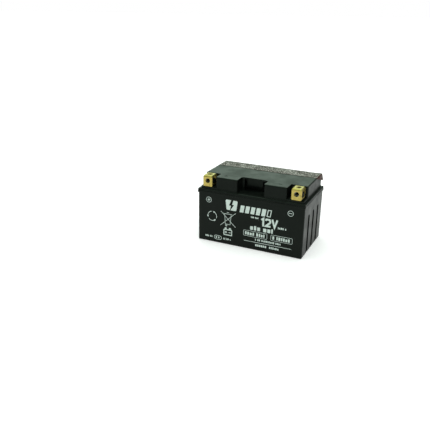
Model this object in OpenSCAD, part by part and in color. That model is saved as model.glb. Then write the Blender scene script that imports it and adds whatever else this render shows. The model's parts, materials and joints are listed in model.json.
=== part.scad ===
// Sealed 12 V motorcycle battery, 150 x 87 x 93 mm.
// Six cells in series stand in one welded container, under a cover that holds the terminals,
// the filler ports behind a foil seal, and one pressure relief valve.
// The origin is the centre of the base. X runs along the length, the printed face looks to -Y.

/* [Overall size] */
// Length over the welded rim
rim_len = 150; // [146:1:170]
// Width over the welded rim
rim_wid = 87; // [85:1:100]
// Height to the top of the foil seal
total_h = 93; // [93:1:97]

/* [Container] */
// How far the container wall stands in from the rim
wall_inset = 0.8; // [0.4:0.1:1.6]
// Thickness of the front and back walls
wall_t = 2.2; // [1.8:0.1:2.6]
// Thickness of the grooved end walls
end_wall_t = 3; // [2.6:0.1:3.2]
// Thickness of the floor
floor_t = 2.5; // [1.5:0.1:3]
// Radius of the container's upright corners
corner_r = 2.4; // [1.2:0.2:4]
// Radius of the bottom edges
base_r = 2; // [0.6:0.2:2]
// Number of cells
cells = 6; // [6:1:6]
// Thickness of the partitions between the cells
partition_t = 1.5; // [1:0.1:2]
// Width of the upright grooves on each end wall
end_groove_w = 7; // [4:0.5:9]
// Depth of the end wall grooves
end_groove_d = 1.4; // [0.4:0.1:1.6]
// Spacing of the end wall grooves
end_groove_pitch = 21; // [16:1:24]
// Height of the top end of the end wall grooves
end_groove_top = 55; // [40:1:62]

/* [Rim and cover] */
// Radius of the rim's corners
rim_r = 1.6; // [1.2:0.2:3]
// Height of the weld between container and cover
seam_z = 72; // [71.5:0.5:73]
// Height of the container's flange below the weld
low_flange_h = 2.8; // [2:0.2:4]
// Height of the ledge on top of the rim
ledge_z = 75; // [74.6:0.2:76]
// Set-back of the raised cover from the rim at the ends
end_step = 3.6; // [3:0.2:4.4]
// Set-back of the raised cover from the rim at the front
front_step = 2.7; // [2:0.2:3]
// Set-back of the raised cover from the rim at the back
back_step = 3.1; // [2.4:0.2:4]
// Radius of the cover's outer top edges
top_r = 1.5; // [0.8:0.1:1.8]
// Thickness of the cover's walls and roof
cover_t = 2; // [1.6:0.1:2.4]

/* [Terminal pockets and finger recess] */
// Distance from the middle to each terminal pocket
pocket_x = 49; // [47:0.5:50]
// Depth of the pockets and the recess from the front of the rim
pocket_d = 19.7; // [19:0.5:22]
// Height of the platform under each terminal
platform_z = 77.5; // [77:0.2:78]
// Width of the middle recess
recess_w = 37; // [36:0.5:42]
// Width of the finger grip in the back of the recess
grip_w = 30; // [26:1:31]
// Width of the panel that hangs in the middle of the finger grip
panel_w = 22; // [16:1:23]
// Height of the finger grip under its panel
grip_h = 7.5; // [5:0.5:9]
// Depth of the finger grip behind the recess
grip_d = 6; // [4:0.5:7]

/* [Terminals] */
// Distance from the middle to each terminal
terminal_x = 61.4; // [60:0.1:62]
// Width of a terminal
terminal_w = 13.2; // [12:0.2:14]
// Depth of a terminal, front to back
terminal_d = 15.5; // [14:0.5:15.5]
// Thickness of the terminal's metal
terminal_t = 1.6; // [1.2:0.1:1.8]
// Set-back of the terminal's face from the front of the rim
terminal_back = 3.4; // [3.2:0.1:3.6]
// Radius of the bolt holes in a terminal
bolt_hole_r = 3.25; // [3.1:0.05:3.4]
// Height of the front bolt hole
bolt_z = 85.8; // [85:0.1:86]
// Width of the square nut
nut_w = 10; // [9:0.5:10.5]
// Thickness of the square nut
nut_t = 5; // [4:0.5:5]
// Radius of the nut's threaded hole, for an M6 screw
thread_r = 2.5; // [2.4:0.05:2.7]
// Radius of the lead posts
post_r = 4; // [3.5:0.1:4]

/* [Filling and venting] */
// Radius of each filler port
port_r = 5.3; // [4.5:0.1:5.5]
// Distance of the port row behind the middle
port_y = 28; // [27:0.5:29]
// Front edge of the foil seal
foil_front_y = 15; // [12:1:18]
// Thickness of the foil seal
foil_t = 0.3; // [0.2:0.1:0.4]
// Radius of the relief valve cap
valve_r = 4; // [3.6:0.1:4.2]
// Travel of the relief valve cap before it meets the disc above it
valve_lift = 0.8; // [0.5:0.1:1]

/* [Plate groups] */
// Positive plates in each cell
positive_count = 4; // [3:1:4]
// Thickness of a positive plate
positive_t = 2; // [1.6:0.1:2]
// Thickness of a negative plate
negative_t = 1.4; // [1.1:0.1:1.4]
// Thickness of a separator
separator_t = 0.8; // [0.6:0.1:0.8]
// Width of a plate
plate_w = 76; // [70:1:78]
// Height of the top edge of the plates
plate_top = 58; // [50:1:60]
// Distance of the plate lugs from the middle, front and back
lug_y = 26; // [22:1:28]

/* [Hidden] */
$fn = 64;
EPS = 0.01;

// Rim and container
wall_len = rim_len - 2 * wall_inset;
wall_wid = rim_wid - 2 * wall_inset;
inner_len = wall_len - 2 * end_wall_t;
inner_wid = wall_wid - 2 * wall_t;
seam_gap = 0.3;
seam_inset = 0.6;
upper_flange_inset = 0.2;
ledge_r = 1.6;
rest_rib_h = 2;
rest_rib_w = 1.5;
rest_rib_y = 20;
groove_bottom_z = 3;
cell_len = (inner_len - (cells - 1) * partition_t) / cells;
cell_pitch = cell_len + partition_t;

// Cover
body_x = rim_len / 2 - end_step;
body_front = -rim_wid / 2 + front_step;
body_back = rim_wid / 2 - back_step;
body_top = total_h - foil_t;
pocket_back = -rim_wid / 2 + pocket_d;
recess_x = recess_w / 2;
block_r = 2;
recess_fillet = 4.5;
grip_side_top = 90;
plinth_h = 1.5;
plinth_step = 0.5;
pocket_fillet = 2;
block_overlap = 6;
rib_top = 80;
post_boss_r = 7.6;
seal_r = 6;
post_gap = 0.1;
mark_len = 5.2;
mark_w = 1.1;
mark_depth = 0.35;
mark_y = -30.4;
plus_x = -39.4;
minus_x = 36.6;

// Ports and relief valve
port_wall = 1.7;
port_lip_r = port_r + 0.8;
port_lip_h = 1;
valve_x = 0;
well_r = 4.5;
well_wall = 2;
well_floor = 84;
seat_r = 2.5;
seat_bore_r = 1;
seat_h = 3;
cap_gap = 0.05;
cap_roof = 1.6;
cap_skirt_z = well_floor + 0.6;
cap_top_z = well_floor + seat_h + cap_gap + cap_roof;
disc_r = 5.1;
disc_t = 2.4;
disc_gap = 0.2;
disc_z = cap_top_z + valve_lift + disc_gap;
vent_groove_w = 2;
vent_groove_d = 0.8;

// Terminals
terminal_front = -rim_wid / 2 + terminal_back;
terminal_rear = terminal_front + terminal_d;
nut_gap = 0.25;
foot_top = bolt_z - nut_w / 2 - nut_gap;
nut_y = terminal_front + terminal_t + nut_gap + nut_t / 2;
post_y = terminal_rear - terminal_t - post_r - 0.3;
rest_w = terminal_w - 1;
rest_top = total_h - terminal_t - nut_t - 0.3;
rest_channel = 7;
rest_back_wall = 1.5;

// Plate groups
negative_count = positive_count + 1;
separator_count = 2 * positive_count;
stack_step = negative_t + positive_t + 2 * separator_t;
stack_len = positive_count * stack_step + negative_t;
plate_bottom = floor_t + rest_rib_h;
lug_w = 9;
strap_z = 63;
strap_t = 3.5;
strap_w = 10;
upright_t = 3;
upright_gap = 0.2;
weld_z = 68.2;
weld_r = 3;

function cell_x(i) = (i - (cells + 1) / 2) * cell_pitch;
function partition_x(k) = cell_x(k) + cell_pitch / 2;
// Middle of the first negative plate in cell i
function stack_start(i) = cell_x(i) - stack_len / 2 + negative_t / 2;
// The positive lugs stand at the front in odd cells and at the back in even cells.
function positive_side(i) = i % 2 == 1 ? -1 : 1;

// ---- Shared shapes ----

// Rectangle about the origin with round corners
module rounded_rect(l, w, r) {
    square([l - 2 * r, w], center = true);
    square([l, w - 2 * r], center = true);
    for (sx = [-1, 1], sy = [-1, 1])
        translate([sx * (l / 2 - r), sy * (w / 2 - r)]) circle(r = r);
}

// Rectangle between two corners with round corners
module rounded_area(x0, x1, y0, y1, r) {
    translate([(x0 + x1) / 2, (y0 + y1) / 2]) rounded_rect(x1 - x0, y1 - y0, r);
}

// Flat slab with round upright corners
module slab(l, w, z0, z1, r) {
    translate([0, 0, z0]) linear_extrude(z1 - z0) rounded_rect(l, w, r);
}

// Side view of a block whose top or bottom edges are round
module edge_profile(w, z0, z1, top, bottom) {
    translate([-w / 2, z0 + bottom]) square([w, z1 - z0 - top - bottom]);
    if (bottom > 0) {
        translate([-w / 2 + bottom, z0]) square([w - 2 * bottom, bottom + 1]);
        for (s = [-1, 1]) translate([s * (w / 2 - bottom), z0 + bottom]) circle(r = bottom);
    }
    if (top > 0) {
        translate([-w / 2 + top, z1 - top - 1]) square([w - 2 * top, top + 1]);
        for (s = [-1, 1]) translate([s * (w / 2 - top), z1 - top]) circle(r = top);
    }
}

// Block with round top or bottom edges on its four sides
module edge_block(l, w, z0, z1, top = 0, bottom = 0) {
    intersection() {
        translate([0, w / 2 + 1, 0]) rotate([90, 0, 0])
            linear_extrude(w + 2) edge_profile(l, z0, z1, top, bottom);
        translate([-l / 2 - 1, 0, 0]) rotate([90, 0, 90])
            linear_extrude(l + 2) edge_profile(w, z0, z1, top, bottom);
    }
}

// Block with round upright corners and round top or bottom edges
module soft_block(l, w, z0, z1, r, top = 0, bottom = 0) {
    intersection() {
        slab(l, w, z0, z1, r);
        edge_block(l, w, z0, z1, top, bottom);
    }
}

// Box given by its lowest and highest corners
module box(lo, hi) {
    translate(lo) cube(hi - lo);
}

// Upright cylinder between two heights
module column(x, y, z0, z1, r) {
    translate([x, y, z0]) cylinder(r = r, h = z1 - z0);
}

// Corner piece that turns a sharp inner corner into a round one
module inner_fillet(x, y, sx, sy, r) {
    translate([x, y]) scale([sx, sy]) difference() {
        translate([-EPS, -EPS]) square(r + EPS);
        translate([r, r]) circle(r = r);
    }
}

// ---- Container ----

// One rounded groove standing on an end wall
module end_groove(side, y) {
    top = end_groove_top - end_groove_w / 2;
    rotate([0, 0, side < 0 ? 180 : 0]) translate([wall_len / 2 + 1, y, 0]) rotate([0, -90, 0])
        linear_extrude(1 + end_groove_d) {
            translate([groove_bottom_z, -end_groove_w / 2]) square([top - groove_bottom_z, end_groove_w]);
            translate([top, 0]) circle(r = end_groove_w / 2);
        }
}

module container() color([0.11, 0.12, 0.10]) {
    difference() {
        union() {
            soft_block(wall_len, wall_wid, 0, seam_z, corner_r, bottom = base_r);
            slab(rim_len, rim_wid, seam_z - low_flange_h, seam_z - seam_gap, rim_r);
        }
        for (i = [1:cells]) translate([cell_x(i), 0, floor_t]) linear_extrude(seam_z)
            rounded_rect(cell_len, inner_wid, 1);
        for (side = [-1, 1], k = [-1, 0, 1]) end_groove(side, k * end_groove_pitch);
        for (k = [1:cells - 1]) {
            y = positive_side(k + 1) * lug_y;
            translate([partition_x(k), y, weld_z]) rotate([0, 90, 0])
                cylinder(r = weld_r, h = 2 * partition_t, center = true);
        }
    }
    for (i = [1:cells], s = [-1, 1])
        box([cell_x(i) - cell_len / 2 - EPS, s * rest_rib_y - rest_rib_w / 2, floor_t - EPS],
            [cell_x(i) + cell_len / 2 + EPS, s * rest_rib_y + rest_rib_w / 2, plate_bottom]);
}

// ---- Cover ----

// Plan of the cover's raised body, drawn smaller all round by inset
module raised_plan(inset = 0) {
    r = max(block_r - inset, 0.5);
    rounded_area(-body_x + inset, body_x - inset, pocket_back + inset, body_back - inset, r);
    for (s = [-1, 1]) {
        near = s * (recess_x + inset);
        far = s * (pocket_x - inset);
        rounded_area(min(near, far), max(near, far), body_front + inset, pocket_back + block_overlap, r);
        inner_fillet(near, pocket_back + inset, -s, -1, recess_fillet - inset);
        inner_fillet(far, pocket_back + inset, s, -1, pocket_fillet);
    }
}

// Outer form of the cover, still solid
module cover_shell() {
    slab(rim_len - 2 * seam_inset, rim_wid - 2 * seam_inset, seam_z, seam_z + seam_gap + EPS, rim_r - seam_inset);
    soft_block(rim_len - 2 * upper_flange_inset, rim_wid - 2 * upper_flange_inset,
        seam_z + seam_gap, ledge_z, rim_r, top = ledge_r);
    intersection() {
        translate([0, 0, ledge_z - 1]) linear_extrude(body_top - ledge_z + 1) raised_plan();
        translate([0, (body_front + body_back) / 2, 0])
            edge_block(2 * body_x, body_back - body_front, ledge_z - 1, body_top, top = top_r);
    }
    translate([0, 0, ledge_z - 1]) linear_extrude(plinth_h + 1) raised_plan(-plinth_step);
    for (s = [-1, 1]) translate([0, 0, ledge_z - 1]) linear_extrude(platform_z - ledge_z + 1)
        rounded_area(min(s * (pocket_x - 3), s * body_x), max(s * (pocket_x - 3), s * body_x),
            body_front, pocket_back + 3, block_r);
}

// Hollow inside the cover
module cover_hollow() {
    translate([0, 0, seam_z - 1]) linear_extrude(body_top - cover_t - seam_z + 1) raised_plan(cover_t);
    translate([0, 0, seam_z - 1]) linear_extrude(ledge_z - seam_z - cover_t + 1.4)
        rounded_area(-body_x + cover_t, body_x - cover_t, body_front + cover_t, body_back - cover_t, 1);
}

// Walls and tubes that stand inside the hollow
module cover_inner_walls() {
    for (k = [1:cells - 1])
        box([partition_x(k) - partition_t / 2, body_front + cover_t / 2, seam_z],
            [partition_x(k) + partition_t / 2, body_back - cover_t / 2, rib_top]);
    for (i = [1:cells]) column(cell_x(i), port_y, ledge_z, body_top, port_r + port_wall);
    column(valve_x, port_y, well_floor - cover_t, body_top, well_r + well_wall);
    for (s = [-1, 1]) column(s * terminal_x, post_y, seam_z, platform_z, post_boss_r);
    box([-grip_w / 2 - cover_t, pocket_back, seam_z],
        [grip_w / 2 + cover_t, pocket_back + grip_d + cover_t, body_top]);
}

// Raised pad that carries the foot of a terminal
module terminal_pad(s) {
    box([s * terminal_x - terminal_w / 2 + 0.2, terminal_front + terminal_t + nut_gap, platform_z - EPS],
        [s * terminal_x + terminal_w / 2 - 0.2, terminal_rear - terminal_t, foot_top - terminal_t]);
}

// Slot round the sides and bottom of a panel in the back of the recess
module finger_grip() {
    box([-grip_w / 2, pocket_back - 1, ledge_z], [grip_w / 2, pocket_back + grip_d, ledge_z + grip_h]);
    for (s = [-1, 1])
        box([min(s * panel_w / 2, s * grip_w / 2), pocket_back - 1, ledge_z],
            [max(s * panel_w / 2, s * grip_w / 2), pocket_back + grip_d, grip_side_top]);
}

// Plus or minus sign sunk into the top
module polarity_mark(x, plus) {
    translate([x, mark_y, body_top - mark_depth]) linear_extrude(1) {
        square([mark_len, mark_w], center = true);
        if (plus) square([mark_w, mark_len], center = true);
    }
}

module cover() color([0.33, 0.37, 0.33]) difference() {
    union() {
        difference() {
            cover_shell();
            cover_hollow();
        }
        intersection() {
            cover_shell();
            cover_inner_walls();
        }
        for (s = [-1, 1]) terminal_pad(s);
        column(valve_x, port_y, well_floor - EPS, well_floor + seat_h, seat_r);
    }
    for (i = [1:cells]) {
        column(cell_x(i), port_y, seam_z, total_h, port_r);
        column(cell_x(i), port_y, body_top - port_lip_h, total_h, port_lip_r);
    }
    difference() {
        column(valve_x, port_y, well_floor, total_h, well_r);
        column(valve_x, port_y, well_floor - 1, well_floor + seat_h, seat_r);
    }
    column(valve_x, port_y, disc_z, total_h, disc_r + 0.1);
    column(valve_x, port_y, seam_z, total_h, seat_bore_r);
    box([valve_x - vent_groove_w / 2, port_y, body_top - vent_groove_d],
        [valve_x + vent_groove_w / 2, body_back + 1, total_h]);
    finger_grip();
    for (s = [-1, 1]) {
        column(s * terminal_x, post_y, seam_z - 1, ledge_z, seal_r);
        column(s * terminal_x, post_y, seam_z - 1, total_h, post_r + post_gap);
    }
    polarity_mark(plus_x, true);
    polarity_mark(minus_x, false);
}

// ---- Foil seal and relief valve ----

// Foil over the filler ports, with its pull tail folded down over the right end
module foil_seal() color([0.55, 0.55, 0.50]) {
    tail_lean = 12;
    tail_front = 13;
    tail_drop = 10.5;
    tail_x = body_x + 0.3;
    tail_end_z = total_h - foil_t * sin(tail_lean);
    outline = [[tail_front, 0], [body_back, 0], [body_back, -tail_drop], [body_back - 8, -7.6]];
    box([-body_x + 0.2, foil_front_y, body_top], [tail_x + foil_t, body_back, total_h]);
    translate([tail_x, 0, tail_end_z]) rotate([0, -tail_lean, 0]) rotate([90, 0, 90])
        linear_extrude(foil_t) polygon(outline);
}

// Rubber cap that seals the valve seat and lifts under pressure
module relief_valve_cap() color([0.16, 0.15, 0.15]) translate([valve_x, port_y, 0]) difference() {
    column(0, 0, cap_skirt_z, cap_top_z, valve_r);
    column(0, 0, cap_skirt_z - 1, well_floor + seat_h + cap_gap, seat_r + cap_gap);
}

// Porous disc over the relief valve
module flame_arrestor() color([0.80, 0.78, 0.72])
    column(valve_x, port_y, disc_z, disc_z + disc_t, disc_r);

// ---- Terminals ----

// Side view of the bent terminal strip: front plate, top, back leg and foot
module terminal_profile() {
    bend = 2.4;
    module outline(inset, r) {
        x0 = terminal_front + inset;
        x1 = terminal_rear - inset;
        z1 = total_h - inset;
        translate([x0, platform_z - 5]) square([x1 - x0, z1 - platform_z + 5 - r]);
        translate([x0 + r, platform_z]) square([x1 - x0 - 2 * r, z1 - platform_z]);
        for (x = [x0 + r, x1 - r]) translate([x, z1 - r]) circle(r = r);
    }
    difference() {
        outline(0, bend);
        outline(terminal_t, bend - terminal_t);
    }
    translate([terminal_front + terminal_t + nut_gap, foot_top - terminal_t])
        square([terminal_d - terminal_t - nut_gap - terminal_t / 2, terminal_t]);
}

// Front view of a terminal with its clipped upper and lower corners
module terminal_face() {
    clip = 1;
    half = terminal_w / 2;
    polygon([
        [-half, platform_z + 0.5 + clip], [-half + clip, platform_z + 0.5],
        [half - clip, platform_z + 0.5], [half, platform_z + 0.5 + clip],
        [half, total_h - 2 * clip], [half - clip, total_h], [-half + clip, total_h], [-half, total_h - 2 * clip]
    ]);
}

module terminal(s) difference() {
    translate([s * terminal_x, 0, 0]) intersection() {
        translate([-terminal_w / 2, 0, 0]) rotate([90, 0, 90]) linear_extrude(terminal_w) terminal_profile();
        rotate([90, 0, 0]) linear_extrude(rim_wid, center = true) terminal_face();
    }
    translate([s * terminal_x, terminal_front + 2, bolt_z]) rotate([90, 0, 0]) cylinder(r = bolt_hole_r, h = 6);
    column(s * terminal_x, (terminal_front + terminal_rear) / 2, bolt_z, total_h + 1, bolt_hole_r);
    column(s * terminal_x, post_y, platform_z, bolt_z, post_r);
}

module positive_terminal() color([0.82, 0.80, 0.48]) terminal(-1);

module negative_terminal() color([0.82, 0.80, 0.48]) terminal(1);

// Square nut that waits behind the front plate
module square_nut(s) translate([s * terminal_x, nut_y, bolt_z]) difference() {
    cube([nut_w, nut_t, nut_w], center = true);
    rotate([90, 0, 0]) cylinder(r = thread_r, h = nut_t + 1, center = true);
}

module positive_nut() color([0.60, 0.60, 0.62]) square_nut(-1);

module negative_nut() color([0.60, 0.60, 0.62]) square_nut(1);

// Plastic rest behind the nut. The nut can also lie on top of it, facing the upper hole.
// A channel leaves room for the end of either screw.
module nut_rest(s) translate([s * terminal_x, 0, 0]) difference() {
    back = terminal_rear - terminal_t;
    box([-rest_w / 2, nut_y + nut_t / 2 + nut_gap, foot_top], [rest_w / 2, back, rest_top]);
    box([-rest_channel / 2, nut_y, bolt_z - rest_channel / 2],
        [rest_channel / 2, back - rest_back_wall, total_h]);
}

module positive_nut_rest() color([0.12, 0.12, 0.12]) nut_rest(-1);

module negative_nut_rest() color([0.12, 0.12, 0.12]) nut_rest(1);

// ---- Posts, seals, straps and cell connectors ----

// Cast strap over the lugs of one plate group
module strap(i, side) {
    box([cell_x(i) - stack_len / 2, side * lug_y - strap_w / 2, strap_z],
        [cell_x(i) + stack_len / 2, side * lug_y + strap_w / 2, strap_z + strap_t]);
}

// Upright at the partition end of a strap
module upright(i, side, toward) {
    inner = cell_x(i) + toward * (cell_len / 2 - upright_gap);
    box([min(inner, inner - toward * upright_t), side * lug_y - strap_w / 2, strap_z],
        [max(inner, inner - toward * upright_t), side * lug_y + strap_w / 2, seam_z - 0.5]);
}

// Post of an end cell, with the strap it rises from
module end_post(i, s) {
    strap(i, -1);
    box([cell_x(i) - post_r, post_y - post_r, strap_z], [cell_x(i) + post_r, -lug_y, strap_z + strap_t]);
    column(s * terminal_x, post_y, strap_z, foot_top, post_r);
}

module positive_post() color([0.45, 0.46, 0.48]) end_post(1, -1);

module negative_post() color([0.45, 0.46, 0.48]) end_post(cells, 1);

// Sealing ring around a post, under the platform
module post_seal(s) difference() {
    column(s * terminal_x, post_y, seam_z + 0.6, ledge_z, seal_r);
    column(s * terminal_x, post_y, seam_z, total_h, post_r);
}

module positive_post_seal() color([0.62, 0.10, 0.08]) post_seal(-1);

module negative_post_seal() color([0.08, 0.16, 0.40]) post_seal(1);

// Joins the negative group of cell k to the positive group of the next cell, through the partition
module cell_connector(k) color([0.45, 0.46, 0.48]) {
    side = positive_side(k + 1);
    strap(k, side);
    strap(k + 1, side);
    upright(k, side, 1);
    upright(k + 1, side, -1);
    translate([partition_x(k), side * lug_y, weld_z]) rotate([0, 90, 0])
        cylinder(r = weld_r, h = partition_t + 4 * upright_gap, center = true);
}

// ---- Plate groups ----

// One plate with its lug, standing across the cell
module plate(x, t, side) {
    box([x - t / 2, -plate_w / 2, plate_bottom], [x + t / 2, plate_w / 2, plate_top]);
    box([x - t / 2, side * lug_y - lug_w / 2, plate_top - 1], [x + t / 2, side * lug_y + lug_w / 2, strap_z]);
}

module negative_plates(i) color([0.50, 0.52, 0.54])
    for (n = [0:negative_count - 1]) plate(stack_start(i) + n * stack_step, negative_t, -positive_side(i));

module positive_plates(i) color([0.36, 0.24, 0.18])
    for (n = [0:positive_count - 1])
        plate(stack_start(i) + (n + 0.5) * stack_step, positive_t, positive_side(i));

// Glass mat sheets between the plates
module separators(i) color([0.90, 0.90, 0.88])
    for (n = [0:separator_count - 1]) {
        x = stack_start(i) + negative_t / 2 + floor(n / 2) * stack_step
            + (n % 2) * (separator_t + positive_t);
        box([x, -plate_w / 2 - 1.5, plate_bottom], [x + separator_t, plate_w / 2 + 1.5, plate_top + 2]);
    }

container();
cover();
foil_seal();
relief_valve_cap();
flame_arrestor();
positive_terminal();
negative_terminal();
positive_nut();
negative_nut();
positive_nut_rest();
negative_nut_rest();
positive_post();
negative_post();
positive_post_seal();
negative_post_seal();
for (k = [1:cells - 1])
    cell_connector(k);
for (i = [1:cells]) {
    positive_plates(i);
    negative_plates(i);
    separators(i);
}
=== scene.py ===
"""Looks of a sealed motorcycle battery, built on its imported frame.

The moulded, metal and inner parts keep their CAD shapes and are dressed in procedural finishes. The foil
seal is rebuilt as a crinkled sheet, and the printed marks and the weld bead are pieces of their own.
Lengths in the classes are in millimetres; meshes are made in metres.
"""

import json
import logging
import math
import random
from collections import Counter
from collections.abc import Callable, Sequence
from dataclasses import dataclass, field
from enum import Enum

import bmesh
import bpy
from mathutils import Matrix, Vector, noise


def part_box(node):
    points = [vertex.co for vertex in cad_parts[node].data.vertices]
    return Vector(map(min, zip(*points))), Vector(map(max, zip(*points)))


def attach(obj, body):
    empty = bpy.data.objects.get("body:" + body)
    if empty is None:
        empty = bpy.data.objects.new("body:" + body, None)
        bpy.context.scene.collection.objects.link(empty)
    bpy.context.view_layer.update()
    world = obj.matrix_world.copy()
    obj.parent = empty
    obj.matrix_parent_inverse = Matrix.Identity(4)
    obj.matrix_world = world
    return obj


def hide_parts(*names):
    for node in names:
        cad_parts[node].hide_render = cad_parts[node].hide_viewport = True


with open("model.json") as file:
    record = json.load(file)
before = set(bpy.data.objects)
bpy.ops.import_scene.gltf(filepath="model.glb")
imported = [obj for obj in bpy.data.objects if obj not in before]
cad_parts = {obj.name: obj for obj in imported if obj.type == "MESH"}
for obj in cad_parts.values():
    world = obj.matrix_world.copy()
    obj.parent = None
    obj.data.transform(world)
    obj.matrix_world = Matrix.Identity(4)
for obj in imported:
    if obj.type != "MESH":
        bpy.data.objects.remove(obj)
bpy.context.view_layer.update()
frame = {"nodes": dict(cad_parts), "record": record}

LOG = logging.getLogger("battery")
MM = 0.001
# Turn between the points of an arc and of a round corner, in degrees
ARC_STEP = 9.0
CORNER_STEP = 22.5

Colour = tuple[float, float, float]
Point = tuple[float, float]
Socket = bpy.types.NodeSocket
Sockets = dict[str, Socket]
Value = float | Sequence[float] | Socket


# ---- Node graphs ----


@dataclass
class Graph:
    """Short calls for building one node tree."""

    tree: bpy.types.NodeTree

    def node(
        self, kind: str, values: dict[str | int, Value] | None = None, **settings: object
    ) -> bpy.types.Node:
        """Adds a node.

        Args:
            kind: Blender's name of the node type.
            values: Input sockets, by name or index, with a number or an output to join.
            **settings: Properties of the node itself.

        Returns:
            The new node.
        """
        made = self.tree.nodes.new(kind)
        for key, value in settings.items():
            setattr(made, key, value)
        for key, value in (values or {}).items():
            self.feed(made.inputs[key], value)
        return made

    def feed(self, socket: Socket, value: Value) -> None:
        """Joins an output to a socket, or sets the socket's own value."""
        if isinstance(value, Socket):
            self.tree.links.new(value, socket)
        else:
            socket.default_value = value

    def math(self, operation: str, a: Value, b: Value = 0.0) -> Socket:
        """Adds a Math node and returns its value."""
        return self.node("ShaderNodeMath", {0: a, 1: b}, operation=operation).outputs[0]

    def remap(
        self, value: Value, low: float, high: float, out_low: float = 0.0, out_high: float = 1.0
    ) -> Socket:
        """Maps a range of values to another, smoothly and clamped.

        Args:
            value: The value to map.
            low: Where the range starts.
            high: Where the range ends.
            out_low: The result at low.
            out_high: The result at high.

        Returns:
            The mapped value.
        """
        made = self.node(
            "ShaderNodeMapRange",
            {"Value": value, "From Min": low, "From Max": high, "To Min": out_low, "To Max": out_high},
            interpolation_type="SMOOTHSTEP",
        )
        return made.outputs["Result"]

    def mix(self, share: Value, low: Value, high: Value) -> Socket:
        """Mixes two colours by a share from 0 to 1."""
        made = self.node("ShaderNodeMix", {0: share}, data_type="RGBA")
        self.feed(made.inputs[6], low)
        self.feed(made.inputs[7], high)
        return made.outputs[2]

    def place(self) -> Socket:
        """The point on the piece itself, so that a pattern moves with it."""
        return self.node("ShaderNodeTexCoord").outputs["Object"]

    def stretched(self, scale: Sequence[float]) -> Socket:
        """The point on the piece, with each axis scaled."""
        return self.node("ShaderNodeMapping", {"Vector": self.place(), "Scale": scale}).outputs["Vector"]

    def noise(self, vector: Value, scale: float, detail: float = 3.0, roughness: float = 0.55) -> Socket:
        """Adds cloudy noise and returns its value, about 0.5."""
        values = {"Vector": vector, "Scale": scale, "Detail": detail, "Roughness": roughness}
        return self.node("ShaderNodeTexNoise", values).outputs["Fac"]

    def product(self, first: Value, *others: Value) -> Socket:
        """Multiplies values together, one after another."""
        for other in others:
            first = self.math("MULTIPLY", first, other)
        return first

    def bump(self, height: Value, depth: float, **values: Value) -> Socket:
        """Adds a bump of a depth in millimetres and returns its normal."""
        inputs = {"Height": height, "Distance": depth * MM, **values}
        return self.node("ShaderNodeBump", inputs).outputs[0]

    def cells(self, vector: Value, scale: float, feature: str = "F1") -> bpy.types.Node:
        """Adds a cell pattern and returns its node."""
        return self.node("ShaderNodeTexVoronoi", {"Vector": vector, "Scale": scale}, feature=feature)

    def axes(self, vector: Value) -> bpy.types.Node:
        """Splits a vector into X, Y and Z."""
        return self.node("ShaderNodeSeparateXYZ", {0: vector})


def colour4(colour: Colour) -> tuple[float, float, float, float]:
    """A colour with full alpha, as a colour socket wants it."""
    return (*colour, 1.0)


# ---- Shared surface effects ----


class Effect(Enum):
    """The effects that more than one finish uses. Each is one node group."""

    SOFT_EDGES = "soft_edges"
    MOULDED_SKIN = "moulded_skin"
    SETTLED_DUST = "settled_dust"
    FINE_SCUFFS = "fine_scuffs"
    BRUSHED_GRAIN = "brushed_grain"


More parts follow.
